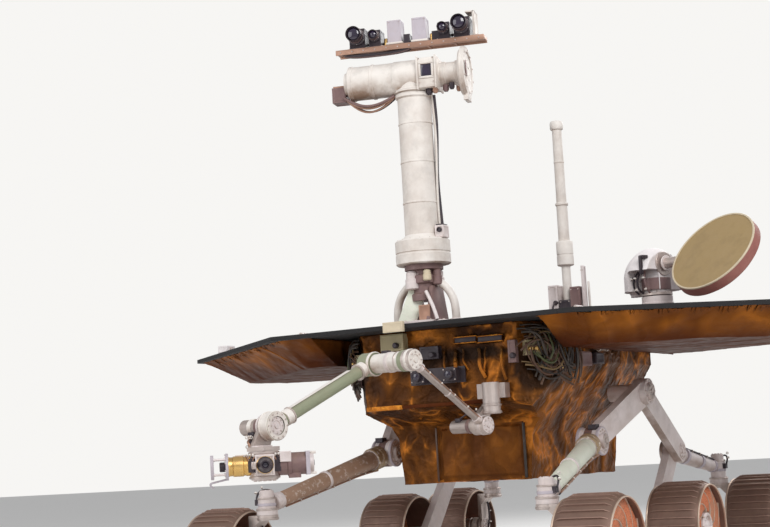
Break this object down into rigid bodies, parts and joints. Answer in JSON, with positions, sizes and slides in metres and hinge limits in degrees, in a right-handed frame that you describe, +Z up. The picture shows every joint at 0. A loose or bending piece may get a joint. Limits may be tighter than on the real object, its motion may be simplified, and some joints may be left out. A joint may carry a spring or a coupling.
{
  "type": "planetary rover",
  "caption": "Six-wheeled solar-powered planetary rover with a swept panel deck, camera mast, dish and rod antennas and a jointed instrument arm.",
  "frame": {"origin": "on the ground under the middle of the rover's outline seen from above", "axes": "+X is the way it drives, +Y its left side across the wings, +Z up"},
  "size_m": [2.0982, 2.288, 1.6015],
  "materials": {
    "gold_blanket": "crumpled amber film blanket with a metallic sheen",
    "solar_cells": "dark blue-black cells under cover glass, dusty",
    "white_paint": "matt white paint with brown dust",
    "brown_bar": "copper-brown coated metal",
    "camera_black": "dark anodised camera housings",
    "dish_tan": "tan coated dish face with a red-brown side",
    "leg_grey": "light grey leg links, dusty",
    "bare_metal": "dull machined metal",
    "wheel_metal": "black-brown anodised wheels worn to beige at the rims",
    "arm_metal": "pale machined joints",
    "arm_green": "pale green-grey tube",
    "instrument_grey": "grey instrument housings",
    "instrument_gold": "gold coated instrument"
  },
  "bodies": {
    "root": {"electronics_box": "gold_blanket", "equipment_deck": "solar_cells", "deck_fittings": "bare_metal", "tail_panel": "solar_cells", "mast_base": "white_paint", "low_gain_rod": "white_paint", "whip_antenna": "white_paint", "dish_foot": "white_paint", "hazard_cameras_front": "camera_black", "hazard_cameras_rear": "camera_black", "arm_base": "arm_metal", "wing_panel_left": "solar_cells", "wing_frame_left": "gold_blanket", "rocker_left": "leg_grey", "rear_beam_left": "leg_grey", "wing_panel_right": "solar_cells", "wing_frame_right": "gold_blanket", "rocker_right": "leg_grey", "rear_beam_right": "leg_grey"},
    "knuckle_front_left": {"knuckle_front_left": "bare_metal"},
    "wheel_front_left": {"wheel_front_left": "wheel_metal"},
    "knuckle_front_right": {"knuckle_front_right": "bare_metal"},
    "wheel_front_right": {"wheel_front_right": "wheel_metal"},
    "wheel_middle_left": {"wheel_middle_left": "wheel_metal"},
    "wheel_middle_right": {"wheel_middle_right": "wheel_metal"},
    "knuckle_rear_left": {"knuckle_rear_left": "bare_metal"},
    "wheel_rear_left": {"wheel_rear_left": "wheel_metal"},
    "knuckle_rear_right": {"knuckle_rear_right": "bare_metal"},
    "wheel_rear_right": {"wheel_rear_right": "wheel_metal"},
    "mast": {"mast_tube": "white_paint", "mast_head": "white_paint"},
    "camera_bar": {"camera_bar": "brown_bar", "mast_cameras": "camera_black"},
    "dish_turn": {"dish_turn": "white_paint"},
    "dish": {"dish": "dish_tan"},
    "arm_shoulder": {"arm_shoulder": "arm_metal"},
    "upper_arm": {"upper_arm": "arm_metal"},
    "forearm": {"forearm": "arm_green"},
    "wrist": {"wrist": "arm_metal"},
    "turret": {"turret": "arm_metal", "abrasion_tool": "instrument_grey", "microscope_imager": "instrument_grey", "iron_spectrometer": "instrument_gold", "particle_spectrometer": "instrument_grey"}
  },
  "joints": [
    {"name": "steer_front_left", "type": "hinge", "parent": "root", "child": "knuckle_front_left", "pos_m": [0.53592, 0.419, 0.236], "axis": [0, 0, 1], "range_deg": [-50, 50]},
    {"name": "spin_front_left", "type": "hinge", "parent": "knuckle_front_left", "child": "wheel_front_left", "pos_m": [0.53592, 0.55, 0.12951], "axis": [0, 1, 0], "continuous": true},
    {"name": "steer_front_right", "type": "hinge", "parent": "root", "child": "knuckle_front_right", "pos_m": [0.53592, -0.419, 0.236], "axis": [0, 0, 1], "range_deg": [-50, 50]},
    {"name": "spin_front_right", "type": "hinge", "parent": "knuckle_front_right", "child": "wheel_front_right", "pos_m": [0.53592, -0.55, 0.12951], "axis": [0, 1, 0], "continuous": true},
    {"name": "spin_middle_left", "type": "hinge", "parent": "root", "child": "wheel_middle_left", "pos_m": [-0.29608, 0.476, 0.12951], "axis": [0, 1, 0], "continuous": true},
    {"name": "spin_middle_right", "type": "hinge", "parent": "root", "child": "wheel_middle_right", "pos_m": [-0.29608, -0.476, 0.12951], "axis": [0, 1, 0], "continuous": true},
    {"name": "steer_rear_left", "type": "hinge", "parent": "root", "child": "knuckle_rear_left", "pos_m": [-0.82608, 0.402, 0.236], "axis": [0, 0, 1], "range_deg": [-50, 50]},
    {"name": "spin_rear_left", "type": "hinge", "parent": "knuckle_rear_left", "child": "wheel_rear_left", "pos_m": [-0.82608, 0.533, 0.12951], "axis": [0, 1, 0], "continuous": true},
    {"name": "steer_rear_right", "type": "hinge", "parent": "root", "child": "knuckle_rear_right", "pos_m": [-0.82608, -0.402, 0.236], "axis": [0, 0, 1], "range_deg": [-50, 50]},
    {"name": "spin_rear_right", "type": "hinge", "parent": "knuckle_rear_right", "child": "wheel_rear_right", "pos_m": [-0.82608, -0.533, 0.12951], "axis": [0, 1, 0], "continuous": true},
    {"name": "mast_turn", "type": "hinge", "parent": "root", "child": "mast", "pos_m": [0.28692, -0.023, 0.9], "axis": [0, 0, 1], "range_deg": [-180, 180]},
    {"name": "camera_tilt", "type": "hinge", "parent": "mast", "child": "camera_bar", "pos_m": [0.28692, -0.023, 1.434], "axis": [-0.2622, 0.965, 0], "range_deg": [-90, 90]},
    {"name": "dish_turn", "type": "hinge", "parent": "root", "child": "dish_turn", "pos_m": [-0.12908, 0.5, 0.785], "axis": [0, 0, 1], "range_deg": [-106, 134]},
    {"name": "dish_raise", "type": "hinge", "parent": "dish_turn", "child": "dish", "pos_m": [-0.12908, 0.5, 0.876], "axis": [-0.3907, -0.9205, 0], "range_deg": [-38, 87]},
    {"name": "arm_turn", "type": "hinge", "parent": "root", "child": "arm_shoulder", "pos_m": [0.31092, 0.172, 0.503], "axis": [0, 0, 1], "range_deg": [-30, 60]},
    {"name": "arm_raise", "type": "hinge", "parent": "arm_shoulder", "child": "upper_arm", "pos_m": [0.34569, 0.16268, 0.445], "axis": [-0.2588, -0.9659, 0], "range_deg": [-40, 30]},
    {"name": "elbow_bend", "type": "hinge", "parent": "upper_arm", "child": "forearm", "pos_m": [0.58551, 0.02078, 0.61928], "axis": [0.2588, 0.9659, 0], "range_deg": [-130, 100]},
    {"name": "wrist_bend", "type": "hinge", "parent": "forearm", "child": "wrist", "pos_m": [0.90739, -0.14312, 0.46638], "axis": [-0.2588, -0.9659, 0], "range_deg": [-40, 165]},
    {"name": "turret_turn", "type": "hinge", "parent": "wrist", "child": "turret", "pos_m": [0.9412, -0.15218, 0.37138], "axis": [0, 0, 1], "range_deg": [-175, 175]}
  ]
}
